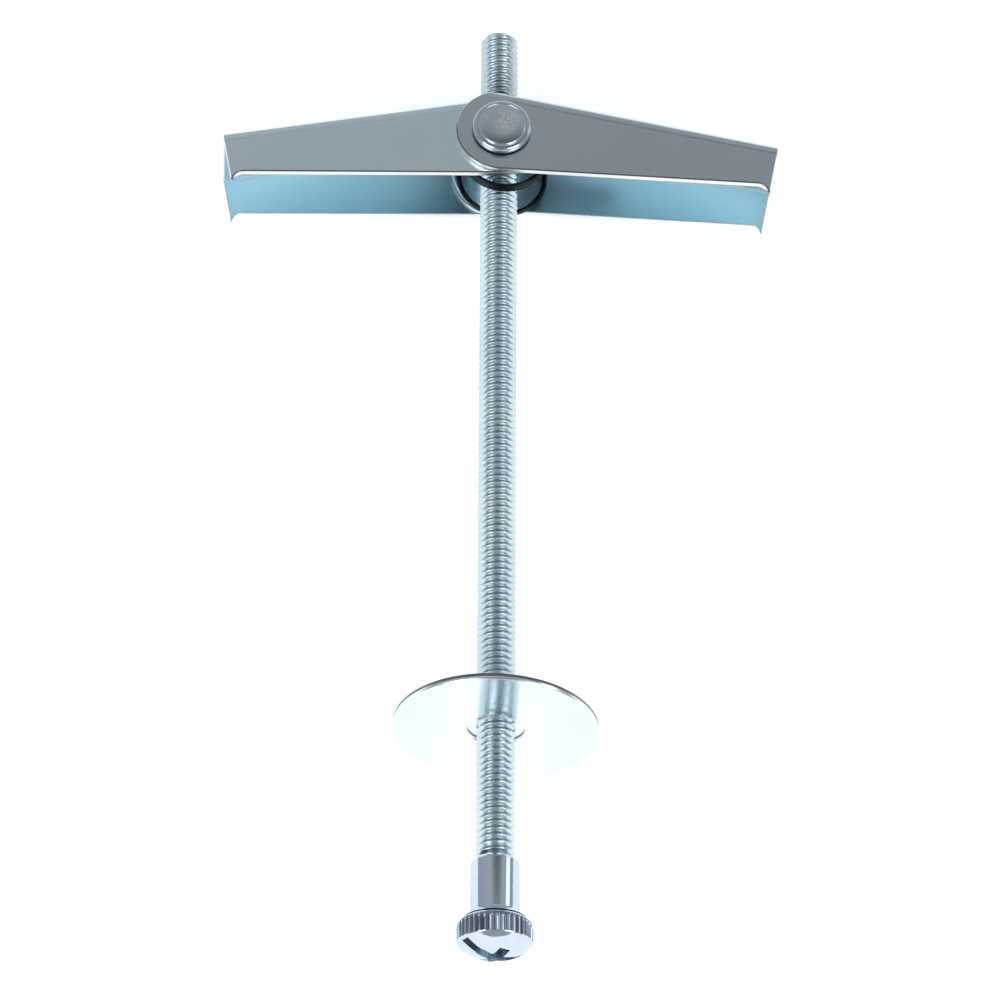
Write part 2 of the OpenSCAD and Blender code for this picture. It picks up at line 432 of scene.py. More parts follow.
@dataclass(frozen=True)
class Plating:
    """Thin bright zinc on steel, dipped in a clear blue passivate.

    The film leaves a pale blue cast that deepens with each reflection between two walls, and the
    blank's own texture shows through it as a slight unevenness in gloss.
    """

    name: str
    colour: str
    stain: str
    roughness: float
    mottle: float
    bump: float
    cloud_mm: float = 6.0
    grain_mm: float = 0.35
    metallic: float = 1.0

    def build(self) -> bpy.types.Material:
        """Make the material.

        Returns:
            A metal whose colour clouds over centimetres and whose gloss varies with its grain.
        """
        material, tree, shader = new_material(self.name)
        shader.inputs["Metallic"].default_value = self.metallic
        place = add_node(tree, "ShaderNodeTexCoord").outputs["Object"]
        # One noise period is about its size in millimetres, and Object coordinates are metres
        clouds = add_node(tree, "ShaderNodeTexNoise",
                          {"Scale": 1000 / self.cloud_mm, "Detail": 3.0, "Roughness": 0.55},
                          {"Vector": place})
        grain = add_node(tree, "ShaderNodeTexNoise",
                         {"Scale": 1000 / self.grain_mm, "Detail": 4.0, "Roughness": 0.6},
                         {"Vector": place})
        film = add_node(tree, "ShaderNodeMapRange",
                        {"From Min": 0.35, "From Max": 0.7, "To Min": 0.0, "To Max": 1.0},
                        {0: clouds.outputs["Fac"]})
        tint = add_node(tree, "ShaderNodeMix", {"data_type": "RGBA"}, {0: film.outputs[0]})
        for socket in tint.inputs:
            if socket.type == "RGBA":
                socket.default_value = linear(self.colour if socket.name == "A" else self.stain)
        tree.links.new(self.marks(tree, place, tint.outputs[2]), shader.inputs["Base Color"])
        gloss = add_node(tree, "ShaderNodeMapRange",
                         {"From Min": 0.3, "From Max": 0.7, "To Min": self.roughness * (1 - self.mottle),
                          "To Max": self.roughness * (1 + self.mottle)}, {0: grain.outputs["Fac"]})
        tree.links.new(gloss.outputs[0], shader.inputs["Roughness"])
        # The grain stands two hundredths of a millimetre proud
        relief = add_node(tree, "ShaderNodeBump", {"Strength": self.bump, "Distance": 0.00002},
                          {"Height": grain.outputs["Fac"]})
        tree.links.new(relief.outputs["Normal"], shader.inputs["Normal"])
        return material

    def marks(self, tree: bpy.types.NodeTree, place: bpy.types.NodeSocket,
              colour: bpy.types.NodeSocket) -> bpy.types.NodeSocket:
        """Marks of the making on top of the film. Plain plating has none."""
        return colour


@dataclass(frozen=True)
class StakedPlating(Plating):
    """Plating with the fine bright dents of a staking punch on the front of a riveted head."""

    middle: Point = (0.45, -6.1, 0.35)
    reach_mm: float = 1.5
    dent_mm: float = 0.22

    def marks(self, tree: bpy.types.NodeTree, place: bpy.types.NodeSocket,
              colour: bpy.types.NodeSocket) -> bpy.types.NodeSocket:
        """Lay fine bright dents over the film, thickest where the punch struck.

        Args:
            tree: Node tree of the material.
            place: Object coordinates.
            colour: Colour of the film.

        Returns:
            The colour with the dents.
        """
        centre = Rest.from_joints(frame["joints"]).point(self.middle)
        away = add_node(tree, "ShaderNodeVectorMath", {"operation": "DISTANCE", 1: centre}, {0: place})
        near = add_node(tree, "ShaderNodeMapRange",
                        {"From Min": self.reach_mm / 1000, "From Max": 0.0002, "To Min": 0.0,
                         "To Max": 1.3}, {0: away.outputs["Value"]})
        dents = add_node(tree, "ShaderNodeTexNoise",
                         {"Scale": 1000 / self.dent_mm, "Detail": 5.0, "Roughness": 0.7,
                          "Distortion": 1.2}, {"Vector": place})
        edge = add_node(tree, "ShaderNodeMath", {"operation": "GREATER_THAN", 1: 0.5},
                        {0: dents.outputs["Fac"]})
        share = add_node(tree, "ShaderNodeMath", {"operation": "MULTIPLY"},
                         {0: near.outputs[0], 1: edge.outputs[0]})
        mixed = add_node(tree, "ShaderNodeMix", {"data_type": "RGBA"}, {0: share.outputs[0], 6: colour})
        mixed.inputs[7].default_value = linear("#FFFFFF")
        return mixed.outputs[2]


# Rolling burnishes the crests and flanks of the thread
ROD_ZINC = Plating("Zinc_on_rolled_thread", "#DAE4E6", "#CEDCE0", 0.24, 0.25, 0.15, cloud_mm=9.0)
# Painted shade: the roots of the thread are coloured darker, for the shade between its flanks
ROOT_SHADE_ZINC = Plating("Painted_shade_in_thread_root", "#9CAEB7", "#8FA2AC", 0.3, 0.25, 0.15, cloud_mm=9.0)
# Barrel-plated after turning, so the sleeve keeps the lathe's mirror finish
NUT_ZINC = Plating("Bright_zinc_on_turned_steel", "#D9E0E9", "#CED8E2", 0.06, 0.3, 0.2, cloud_mm=4.0)
# Painted shade: the floors of the knurl grooves are coloured dark, for the shade between the ridges
KNURL_SHADE_ZINC = Plating("Painted_shade_in_knurl_grooves", "#94A0AC", "#76838F", 0.2, 0.3, 0.2, cloud_mm=1.5)
# The recess is pressed, which leaves it satin
RECESS_ZINC = Plating("Zinc_in_pressed_recess", "#C6D3DC", "#AABECB", 0.24, 0.2, 0.3, cloud_mm=1.0)
# Flattened between polished dies: the smoothest of the pieces
WASHER_ZINC = Plating("Bright_zinc_on_blanked_washer", "#F3F9FB", "#EEF7FA", 0.15, 0.3, 0.1,
                      cloud_mm=12.0)
# The punch tears the edge, and torn steel stays dull and dark under the zinc
TORN_EDGE = Plating("Torn_edge_of_washer", "#8C8793", "#7A7582", 0.3, 0.3, 0.3, cloud_mm=2.0)
# Cold-rolled strip with its mill finish under the zinc: satin outside the channel
RIGHT_ZINC = Plating("Zinc_on_pressed_strip", "#D0D5DA", "#CBD1D6", 0.24, 0.12, 0.04, cloud_mm=10.0)
# The left wing is given a brighter colour than the right
LEFT_ZINC = Plating("Brighter_zinc_on_pressed_strip", "#EBF7FB", "#E6F3F8", 0.24, 0.12, 0.04,
                    cloud_mm=10.0)
# Inside the channel the zinc is coloured paler and bluer than the right wing's outside: the blue of the
# passivate, with painted light that lifts the shade between the walls
CHANNEL_LIT_ZINC = Plating("Blue_zinc_with_painted_light_inside_channel", "#DDF2F9", "#D6EFF7", 0.3, 0.1, 0.03, cloud_mm=10.0)
# The blanking die drags the outer edge down into a roll, which is coloured dark: a painted line of shade
# above the bright sheared edge
ROLLED_EDGE_SHADE = Plating("Painted_shade_on_rolled_edge", "#7A8084", "#6E7478", 0.3, 0.2, 0.1, cloud_mm=5.0)
# Sheared edges take the thinnest film and stay the warm white of zinc
EDGE_ZINC = Plating("Zinc_on_sheared_edge", "#FBF8F4", "#F4F2EF", 0.3, 0.2, 0.1, cloud_mm=5.0)
# Turned, then headed over cold, which leaves the punch's dents on a bright face
TRUNNION_ZINC = StakedPlating("Zinc_on_headed_trunnion", "#CDD5DA", "#C3CCD2", 0.16, 0.3, 0.15,
                              cloud_mm=3.0)
# Painted shade: the faces under the rivet's head are coloured dark, for the shade in the gap
GAP_SHADE_ZINC = Plating("Painted_shade_under_rivet_head", "#3E464E", "#333A42", 0.3, 0.3, 0.2, cloud_mm=1.5)
# Oil-tempered spring wire: a thin black oxide that shines where it was drawn
SPRING_WIRE = Plating("Oil_tempered_wire", "#24272B", "#2E3236", 0.25, 0.3, 0.1, cloud_mm=3.0,
                      grain_mm=0.2)


# ---- Dressing a finished piece ----


@dataclass
class Bench:
    """Lays finished pieces in the frame and reports them."""

    rest: Rest
    made: list[str] = field(default_factory=list)

    def hand_over(self, piece: bpy.types.Object, finish: Sequence[bpy.types.Material], body: Body,
                  nodes: Sequence[str] = (), smooth: float = 30.0) -> bpy.types.Object:
        """Lay a finished piece, give it its finish and body, and hide the nodes it stands for.

        Args:
            piece: Piece in the bolt's frame, in millimetres.
            finish: Its materials, in the order of its slots.
            body: Body that it rides on.
            nodes: Nodes that it replaces.
            smooth: Angle in degrees up to which its shading runs smoothly.

        Returns:
            The piece in its place.
        """
        self.lay(piece, finish, smooth)
        if nodes:
            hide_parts(*nodes)
        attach(piece, body.value)
        self.report(piece, body.value)
        return piece

    def lay(self, piece: bpy.types.Object, finish: Sequence[bpy.types.Material],
            smooth: float) -> None:
        """Move a piece's mesh to its place and give it its finish and shading.

        Args:
            piece: Piece in the bolt's frame, in millimetres.
            finish: Its materials, in the order of its slots.
            smooth: Angle in degrees up to which its shading runs smoothly.
        """
        pick(piece)
        piece.matrix_world = self.rest.matrix() @ piece.matrix_world
        fix_place()
        while len(piece.data.materials) < len(finish):
            piece.data.materials.append(None)
        for index, material in enumerate(finish):
            piece.data.materials[index] = material
        bpy.ops.object.shade_smooth_by_angle(angle=math.radians(smooth))
        # Flat walls keep their own normals, so that only the rounded edges shade
        finish_with(piece, "WEIGHTED_NORMAL", keep_sharp=True)

    def report(self, piece: bpy.types.Object, body: str) -> None:
        """Log a piece with its body and its number of faces."""
        self.made.append(piece.name)
        log.info("%s rides on %s: %d faces", piece.name, body, len(piece.data.polygons))


# ---- Threaded rod ----


@dataclass
class ThreadedRod:
    """Rod with a rolled thread from end to end."""

    # Form of the thread: share of the pitch against share of the depth
    FORM = ((0.0, 0.0), (0.1, 0.012), (0.17, 0.07), (0.4, 0.89), (0.44, 0.975), (0.5, 1.0),
            (0.56, 0.975), (0.6, 0.89), (0.83, 0.07), (0.9, 0.012), (1.0, 0.0))

    major_r: float = 1.95
    minor_r: float = 1.58
    pitch: float = 0.7
    top: float = 14.1
    low: float = -85.9
    chamfer: float = 0.45
    dark_share: float = 0.35
    steps: int = 36

    def profile(self) -> list[Point]:
        """One pitch of the thread, with the rounded crest and root that rolling leaves."""
        depth = self.major_r - self.minor_r
        return [(self.minor_r + depth * rise, 0.0, self.pitch * along) for along, rise in self.FORM]

    def build(self) -> bpy.types.Object:
        """Wind one pitch of the thread up the rod and trim it to a chamfered bar.

        Returns:
            The rod, closed at both ends.
        """
        piece = line("Threaded_rod", self.profile())
        turns = math.ceil((self.top - self.low) / self.pitch) + 3
        finish_with(piece, "SCREW", angle=math.tau, screw_offset=self.pitch, iterations=turns,
                    steps=self.steps, render_steps=self.steps, use_merge_vertices=False,
                    use_smooth_shade=False)
        open_for_edit(piece)
        bpy.ops.mesh.select_all(action="SELECT")
        bpy.ops.mesh.remove_doubles(threshold=WELD_MM)
        bpy.ops.mesh.select_all(action="DESELECT")
        bpy.ops.mesh.select_mode(type="EDGE")
        bpy.ops.mesh.select_non_manifold()
        bpy.ops.mesh.fill()
        bpy.ops.mesh.select_all(action="SELECT")
        bpy.ops.mesh.normals_make_consistent(inside=False)
        bpy.ops.transform.translate(value=(0, 0, self.low - 2 * self.pitch))
        close_edit()
        cut(piece, self.bar(), Cut.KEEP_COMMON)
        # Faces deep in the roots take the second slot, whose darker colour is painted shade
        root = self.minor_r + self.dark_share * (self.major_r - self.minor_r)
        second_slot(piece, lambda middle, normal: middle.xy.length < root and abs(normal.z) < 0.9)
        return piece

    def bar(self) -> bpy.types.Object:
        """The chamfered bar that the thread is rolled on."""
        over = self.major_r + 0.2
        end_r = self.major_r - self.chamfer
        rise = over - end_r
        return turned("Bar", [
            (0, 0, self.low), (end_r, 0, self.low), (over, 0, self.low + rise),
            (over, 0, self.top - rise), (end_r, 0, self.top), (0, 0, self.top),
        ], 72)


# ---- Sleeve nut ----


@dataclass
class SleeveNut:
    """Sleeve with a knurled head and a combined slot and cross recess in its domed face."""

    # Domed face: share of the head's radius against share of the dome's rise
    FACE = ((0.997, 0.04), (0.985, 0.085), (0.9, 0.24), (0.8, 0.405), (0.65, 0.61), (0.5, 0.775),
            (0.34, 0.9), (0.17, 0.973), (0.0, 1.0))
    # Depth of a groove across one ridge and groove, in steps
    GROOVE = (0.0, 0.25, 0.75, 1.0, 0.55)

    mouth: float = -80.0
    junction: float = -86.3
    rim: float = -88.68
    sleeve_r: float = 2.425
    bore_r: float = 2.0
    mouth_r: float = 2.03
    mouth_chamfer: float = 0.42
    head_r: float = 3.75
    shoulder: float = 1.05
    knurl_depth: float = 0.18
    ridges: int = 40
    dome: float = 1.5
    fillet: float = 0.75
    slot_turn: float = 31.0
    slot_length: float = 6.9
    slot_width: float = 0.95
    slot_depth: float = 0.35
    cross_length: float = 4.4
    cross_width: float = 1.3
    cross_depth: float = 0.8
    cross_taper: float = 0.55
    recess_edge: float = 0.08

    def profile(self) -> list[Point]:
        """Outline from the bottom of the bore, over the mouth and the head, to the face's middle.

        Returns:
            Chain of points that starts and ends on the axis.
        """
        low = self.junction - self.shoulder
        foot = arc((self.sleeve_r + self.fillet, self.junction + self.fillet), self.fillet, 180, 270,
                   10)
        shoulder = arc((self.head_r - self.shoulder, low), self.shoulder, 90, 0, 10)
        crown = [(share * self.head_r, self.rim - rise * self.dome) for share, rise in self.FACE]
        outline = [
            (0.0, self.junction - 0.25), (self.bore_r, self.junction - 0.25),
            (self.bore_r, self.mouth - 0.02), (self.mouth_r - 0.03, self.mouth),
            (self.mouth_r, self.mouth), (self.mouth_r + 0.04, self.mouth - 0.05),
            (self.sleeve_r - 0.03, self.mouth - self.mouth_chamfer),
            (self.sleeve_r, self.mouth - self.mouth_chamfer - 0.06),
            *foot, *shoulder, (self.head_r, self.rim), *crown,
        ]
        return [(max(r, 0.0), 0.0, z) for r, z in outline]

    def knurl(self, piece: bpy.types.Object) -> None:
        """Press grooves with rounded floors into the head's round, running out on its shoulder.

        Args:
            piece: Turned nut.
        """
        turn_of_one = math.tau / self.ridges
        rows = sorted({round(z, 5) for r, _, z in self.profile()
                       if r > self.head_r - self.knurl_depth and self.rim - 0.001 < z < self.junction})
        open_for_edit(piece)
        for row in rows:
            radius = max(r for r, _, z in self.profile() if abs(z - row) < 0.001)
            for step, depth in enumerate(self.GROOVE):
                floor = min(radius, self.head_r - depth * self.knurl_depth)

                def on_line(place: Vector, _: Vector) -> bool:
                    turn = math.atan2(place.y, place.x) / turn_of_one * len(self.GROOVE)
                    near = abs(place.z - row) < 0.001 and place.xy.length > radius - 0.01
                    return near and round(turn) % len(self.GROOVE) == step

                if floor < radius and mark(piece, "VERT", on_line):
                    share = floor / radius
                    bpy.ops.transform.resize(value=(share, share, 1), center_override=(0, 0, 0))
        close_edit()
        log.info("knurl: %d grooves", self.ridges)

    def recess_tools(self) -> list[bpy.types.Object]:
        """Cutters for the slot and for the tapered cross.

        Returns:
            Three cutters, turned to their place.
        """
        below = self.rim - self.dome - 0.3
        half, width = self.slot_length / 2, self.slot_width / 2
        slot = block("Slot_tool", (-half, -width, below), (half, width, self.rim + self.slot_depth))
        arms = []
        for turn in (0, 90):
            along, across = self.cross_length / 2, self.cross_width / 2
            arm = block("Cross_tool", (-along, -across, below),
                        (along, across, self.rim + self.cross_depth))
            open_for_edit(arm)
            mark(arm, "FACE", lambda middle, normal: normal.z > 0.9)
            share = self.cross_width / self.cross_length
            bpy.ops.transform.resize(value=(share, self.cross_taper, 1),
                                     center_override=(0, 0, self.rim))
            close_edit()
            pick(arm)
            bpy.ops.transform.rotate(value=math.radians(turn), orient_axis="Z",
                                     center_override=(0, 0, 0))
            fix_place()
            arms.append(arm)
        tools = [slot, *arms]
        for tool in tools:
            tool.matrix_world = Matrix.Rotation(math.radians(self.slot_turn), 4, "Z")
            pick(tool)
            fix_place()
        return tools

    def build(self) -> bpy.types.Object:
        """Turn the nut, knurl its head and cut the recess.

        Returns:
            The nut.
        """
        piece = turned("Sleeve_nut", self.profile(), self.ridges * 5)
        self.knurl(piece)
        for tool in self.recess_tools():
            cut(piece, tool)
        crest = self.head_r - self.knurl_depth

        def pressed(middle: Vector, normal: Vector) -> bool:
            flat_out = middle.xy.normalized().dot(normal.xy) if middle.xy.length > 0.01 else 0.0
            sunk = middle.z > self.rim - 0.75 * self.dome or flat_out < 0.1
            on_face = flat_out > -0.02 and normal.z < -0.3 and middle.z < self.rim + 0.05
            return sunk and not on_face and middle.xy.length < self.slot_length / 2 + 0.05 and (
                self.rim - self.dome < middle.z < self.rim + self.cross_depth + 0.05)

        def in_groove(middle: Vector, normal: Vector) -> bool:
            on_floor = crest - 0.05 < middle.xy.length < crest + 0.1
            return self.rim < middle.z < self.junction - 0.3 and on_floor

        second_slot(piece, pressed)
        # The groove floors take the third slot, whose dark colour is painted shade
        second_slot(piece, in_groove, 2)
        self.ease_recess(piece)
        return piece

    def ease_recess(self, piece: bpy.types.Object) -> None:
        """Round the mouth of the recess, where the punch drew the face in with it.

        Args:
            piece: Nut with its recess cut.
        """
        def off_mouth(edge: bmesh.types.BMEdge) -> bool:
            low, high = (v.co for v in edge.verts)
            middle, way = (low + high) / 2, (high - low).normalized()
            return (middle.z > self.rim + 0.02 or middle.xy.length > self.slot_length / 2 + 0.05
                    or abs(way.z) > 0.75)

        open_for_edit(piece)
        bpy.ops.mesh.select_mode(type="EDGE")
        bpy.ops.mesh.edges_select_sharp(sharpness=math.radians(40))
        mesh = bmesh.from_edit_mesh(piece.data)
        for edge in mesh.edges:
            if edge.select and off_mouth(edge):
                edge.select_set(False)
        bmesh.update_edit_mesh(piece.data)
        bpy.ops.mesh.bevel(offset=self.recess_edge, segments=3, profile=0.5, affect="EDGES",
                           clamp_overlap=True)
        close_edit()


# ---- Washer ----


@dataclass
class Washer:
    """Flat blanked washer that hangs loose on the rod and leans a little."""

    outer_r: float = 10.15
    hole_r: float = 2.85
    thickness: float = 0.65
    station: float = 65.85
    rolled: float = 0.14
    burr: float = 0.05
    clean_cut: float = 0.3
    lean: float = 5.0
    sway: float = 2.2
    steps: int = 192

    def build(self) -> bpy.types.Object:
        """Turn the washer: one side's edges rounded by the die, the other's with a small burr.

        Returns:
            The washer at its place on the rod.
        """
        half = self.thickness / 2
        rolled, burr, land = self.rolled, self.burr, -half + self.clean_cut
        ring = [
            *arc((self.outer_r - rolled, -half + rolled), rolled, -90, 0, 4), (self.outer_r, land),
            *arc((self.outer_r - burr, half - burr), burr, 0, 90, 2),
            *arc((self.hole_r + burr, half - burr), burr, 90, 180, 2), (self.hole_r, land),
            *arc((self.hole_r + rolled, -half + rolled), rolled, 180, 270, 4),
        ]
        ring.append(ring[0])
        piece = turned("Washer", [(r, 0.0, z) for r, z in ring], self.steps)
        # The punch first shears the edge clean and bright, then tears the rest of it
        second_slot(piece, lambda middle, normal: abs(normal.z) < 0.6 and middle.z > land)
        lean = Matrix.Rotation(math.radians(-self.lean), 4, "X")
        sway = Matrix.Rotation(math.radians(self.sway), 4, "Y")
        piece.matrix_world = Matrix.Translation((0, 0, -self.station)) @ sway @ lean
        return piece


# ---- Wings ----


@dataclass
class Wing:
    """One pressed wing: two round ears, tapered walls with a blunt tooth, and a straight back.

    Attributes:
        taper: Angle between the walls' free edge and the back.
        droop: Angle of the walls' free edge below level when the wing is open.
        tooth: How far the tooth at the tip reaches past the free edge.
        hollow_r: Radius of the hollow behind the tooth.
        tip_drop: Length of the tooth's blunt tip.
        slot_end: How far from the pivot the slot in the back ends.
        inner_ear: Inner face of the ear that lies inside the other wing's.
        outer_ear: Inner face of the ear that lies outside the other wing's.
        tongue_edge: Side of the tongue by the slot, measured from the rod's middle.
        rod_gap: Distance from the rod's axis to the tongue.
        press_below: How far the press line lies below the end of the bend.
        press_out: How far the press tool's axis stands off the wall.
    """

    sheet: float = 0.75
    ear_r: float = 4.7
    length: float = 28.5
    taper: float = 9.1
    droop: float = 1.75
    bend_r: float = 0.95
    tooth: float = 1.25
    hollow_r: float = 1.3
    tip_drop: float = 0.13
    slot_end: float = 5.0
    inner_ear: float = 3.5
    outer_ear: float = 4.3
    tongue_edge: float = 3.43
    rod_gap: float = 2.05
    hole_r: float = 2.05
    edge_r: float = 0.14
    press_r: float = 0.3
    press_from: float = 0.4
    press_below: float = 0.35
    press_out: float = 0.24

    @property
    def tilt(self) -> float:
        """Angle of the back below level, in radians."""
        return math.radians(self.taper + self.droop)

    def tongue_start(self) -> float:
        """Where the tongue of the back starts, just short of the rod."""
        return (self.rod_gap - (self.ear_r - self.sheet) * math.sin(self.tilt)) / math.cos(self.tilt)

    def outline(self) -> list[Flat]:
        """Side outline: round the ear, along the free edge, round the hollow and up the tip.

        Returns:
            Corners along the wing and up, from the top of the ear.
        """
        lean = math.radians(self.taper)
        run = Vector((math.cos(lean), math.sin(lean)))
        down = Vector((math.sin(lean), -math.cos(lean)))
        end = Vector((self.length, (-self.ear_r + self.length * math.sin(lean)) / math.cos(lean)))
        half_chord = math.sqrt(2 * self.hollow_r * self.tooth - self.tooth ** 2)
        hollow_run = self.tooth * math.tan(lean) + half_chord
        centre = end - run * hollow_run + down * self.hollow_r
        point = Vector((self.length, end.y - self.tooth / math.cos(lean)))
        away = point - centre
        start = math.degrees(math.atan2(-down.y, -down.x))
        finish = math.degrees(math.atan2(away.y, away.x))
        # The hollow stops short of the tip, which is left blunt
        hollow = arc((centre.x, centre.y), self.hollow_r, start, finish, 10)[:-1]
        ear = arc((0.0, 0.0), self.ear_r, 90, 270 + self.taper, 56)
        return [*ear, *hollow, (self.length, hollow[-1][1] - self.tip_drop), (self.length, self.ear_r)]

    def plate(self) -> bpy.types.Object:
        """Prism with the wing's side outline, wider than the wing.

        Returns:
            The prism.
        """
        wide = self.outer_ear + self.sheet + 1
        piece = line("Outline", [(x, -wide, z) for x, z in self.outline()])
        open_for_edit(piece)
        bpy.ops.mesh.select_all(action="SELECT")
        bpy.ops.mesh.edge_face_add()
        bpy.ops.mesh.extrude_region_move(TRANSFORM_OT_translate={"value": (0, 2 * wide, 0)})
        close_edit()
        merge_and_turn_out(piece)
        return piece

    def channel(self) -> bpy.types.Object:
        """Long channel with its two bends, open below and at both ends.

        Returns:
            The channel, in sheet of its real thickness.
        """
        reach = self.length + 2
        piece = block("Wing", (-2 * self.ear_r, -self.outer_ear - self.sheet, -2 * self.ear_r),
                      (reach, self.inner_ear + self.sheet, self.ear_r))
        open_for_edit(piece)
        mark(piece, "EDGE", lambda middle, way: middle.z > self.ear_r - 0.01 and abs(way.x) > 0.9)
        bpy.ops.mesh.bevel(offset=self.bend_r, offset_type="OFFSET", segments=9, profile=0.5,
                           affect="EDGES")
        mark(piece, "FACE", lambda middle, normal: normal.z < -0.9 or abs(normal.x) > 0.9)
        bpy.ops.mesh.delete(type="FACE")
        close_edit()
        finish_with(piece, "SOLIDIFY", thickness=self.sheet, offset=-1.0, use_even_offset=True)
        return piece

    def build(self) -> bpy.types.Object:
        """Press the wing: bend the channel, blank its outline, then cut the back and the pivot holes.

        Returns:
            The right wing in its open place.
        """
        piece = self.channel()
        cut(piece, self.plate(), Cut.KEEP_COMMON)
        cut(piece, block("Back_tool", (-3 * self.ear_r, -self.outer_ear, -3 * self.ear_r),
                         (self.tongue_start(), self.inner_ear, 3 * self.ear_r)))
        cut(piece, block("Slot_tool", (self.tongue_start() - 0.5, -self.outer_ear, -3 * self.ear_r),
                         (self.slot_end, -self.tongue_edge, 3 * self.ear_r)))
        wide = 2 * self.outer_ear
        cut(piece, bar("Pivot_tool", self.hole_r, Vector((0, -wide, 0)), Vector((0, wide, 0))))
        merge_and_turn_out(piece)
        self.sort_faces(piece)
        ease_edges(piece, self.edge_r, 4, 40.0)
        # The roll along the edge takes the fourth slot, whose dark colour is a painted line of shade
        second_slot(piece, self.on_roll, 3)
        # The die leaves a shallow line where each wall runs into its bend
        line_z, off = self.ear_r - self.bend_r - self.press_below, self.sheet + self.press_out
        for wall in (-self.outer_ear - off, self.inner_ear + off):
            start, end = (Vector((x, wall, line_z)) for x in (self.press_from, self.length + 2))
            cut(piece, bar("Press_tool", self.press_r, start, end, 40))
        piece.matrix_world = Matrix.Rotation(self.tilt, 4, "Y")
        pick(piece)
        fix_place()
        return piece

    def on_roll(self, middle: Vector, normal: Vector) -> bool:
        """Whether a face is on the roll outside a wall, along the edge towards the opening.

        Args:
            middle: Middle of the face.
            normal: Normal of the face.

        Returns:
            True if it is.
        """
        skin = self.sheet - 0.25
        outside = middle.y < -self.outer_ear - skin or middle.y > self.inner_ear + skin
        turned_out = middle.y * normal.y > 0 and 0.45 < abs(normal.y) < 0.999
        return outside and turned_out and normal.z < -0.04

    def sort_faces(self, piece: bpy.types.Object) -> None:
        """Give the channel's inside and its sheared edges their own material slots.

        The outside keeps the first slot, the inside gets the second and the edges the third.

        Args:
            piece: Wing before its edges are eased.
        """
        back = self.ear_r - self.sheet

        def inside(middle: Vector, normal: Vector) -> bool:
            between = -self.outer_ear - 0.01 < middle.y < self.inner_ear + 0.01
            walls = middle.y * normal.y < -0.9 * abs(middle.y) and abs(normal.y) > 0.9
            return between and (walls or (normal.z < -0.5 and middle.z > back - self.bend_r))

        def sheared(middle: Vector, normal: Vector) -> bool:
            on_back = normal.z > 0.7 and middle.z > back
            return abs(normal.y) < 0.3 and not inside(middle, normal) and not on_back

        # The inside takes the second slot, whose paler blue colour paints light into the channel
        second_slot(piece, inside)
        second_slot(piece, sheared, 2)

    def mirrored(self, right: bpy.types.Object) -> bpy.types.Object:
        """Make a second wing from the same press, turned half round the rod.

        Args:
            right: The right wing.

        Returns:
            The left wing.
        """
        pick(right)
        bpy.ops.object.duplicate(linked=False)
        left = bpy.context.object
        left.matrix_world = Matrix.Rotation(math.pi, 4, "Z")
        fix_place()
        right.name, left.name = "Right_wing", "Left_wing"
        return left


# ---- Trunnion nut ----


@dataclass
class TrunnionNut:
    """Cross barrel that the rod screws through, with the wings' ears riveted on its two necks."""

    barrel_r: float = 3.0
    barrel_half: float = 3.45
    neck_r: float = 2.0
    rivet_in: float = 5.1
    rivet_out: float = 6.1
    rivet_r: float = 3.05
    face_r: float = 2.45
    shoulder: float = 0.42
    bore_r: float = 2.0

    def half_profile(self) -> list[Flat]:
        """Half of the outline, from the middle out: barrel, neck and stepped head.

        Returns:
            Radius and place along the pivot of each corner.
        """
        out, inn = self.rivet_out, self.rivet_in
        return [
            (self.barrel_r, 0.0), (self.barrel_r, self.barrel_half - 0.15),
            (self.barrel_r - 0.15, self.barrel_half), (self.neck_r, self.barrel_half),
            (self.neck_r, inn), (self.rivet_r - 0.3, inn), (self.rivet_r - 0.25, inn + 0.1),
            (self.rivet_r - 0.05, inn + 0.16), (self.rivet_r, inn + 0.22), (self.rivet_r, out - 0.5),
            *arc((self.rivet_r - self.shoulder, out - 0.52), self.shoulder, 0, 68, 8)[1:],
            (self.face_r + 0.1, out - 0.14), (self.face_r + 0.06, out - 0.17),
            (self.face_r + 0.02, out - 0.13), (self.face_r - 0.02, out - 0.06),
            (self.face_r - 0.09, out - 0.015), (self.face_r - 0.16, out),
            (self.face_r * 0.5, out), (0.0, out),
        ]

    def build(self) -> bpy.types.Object:
        """Turn the trunnion about the pivot and bore it for the rod.

        Returns:
            The trunnion nut.
        """
        half = self.half_profile()
        profile = [(r, -y, 0.0) for r, y in reversed(half)] + [(r, y, 0.0) for r, y in half[1:]]
        piece = turned("Trunnion_nut", profile, 96, axis=(0, 1, 0))
        reach = 2 * self.barrel_r
        cut(piece, bar("Bore_tool", self.bore_r, Vector((0, 0, -reach)), Vector((0, 0, reach))))
        # The faces under the rivet's head take the second slot, whose dark colour is painted shade
        second_slot(piece, lambda middle, normal: self.rivet_in < abs(middle.y) < self.rivet_in + 0.2)
        return piece


# ---- Torsion spring ----


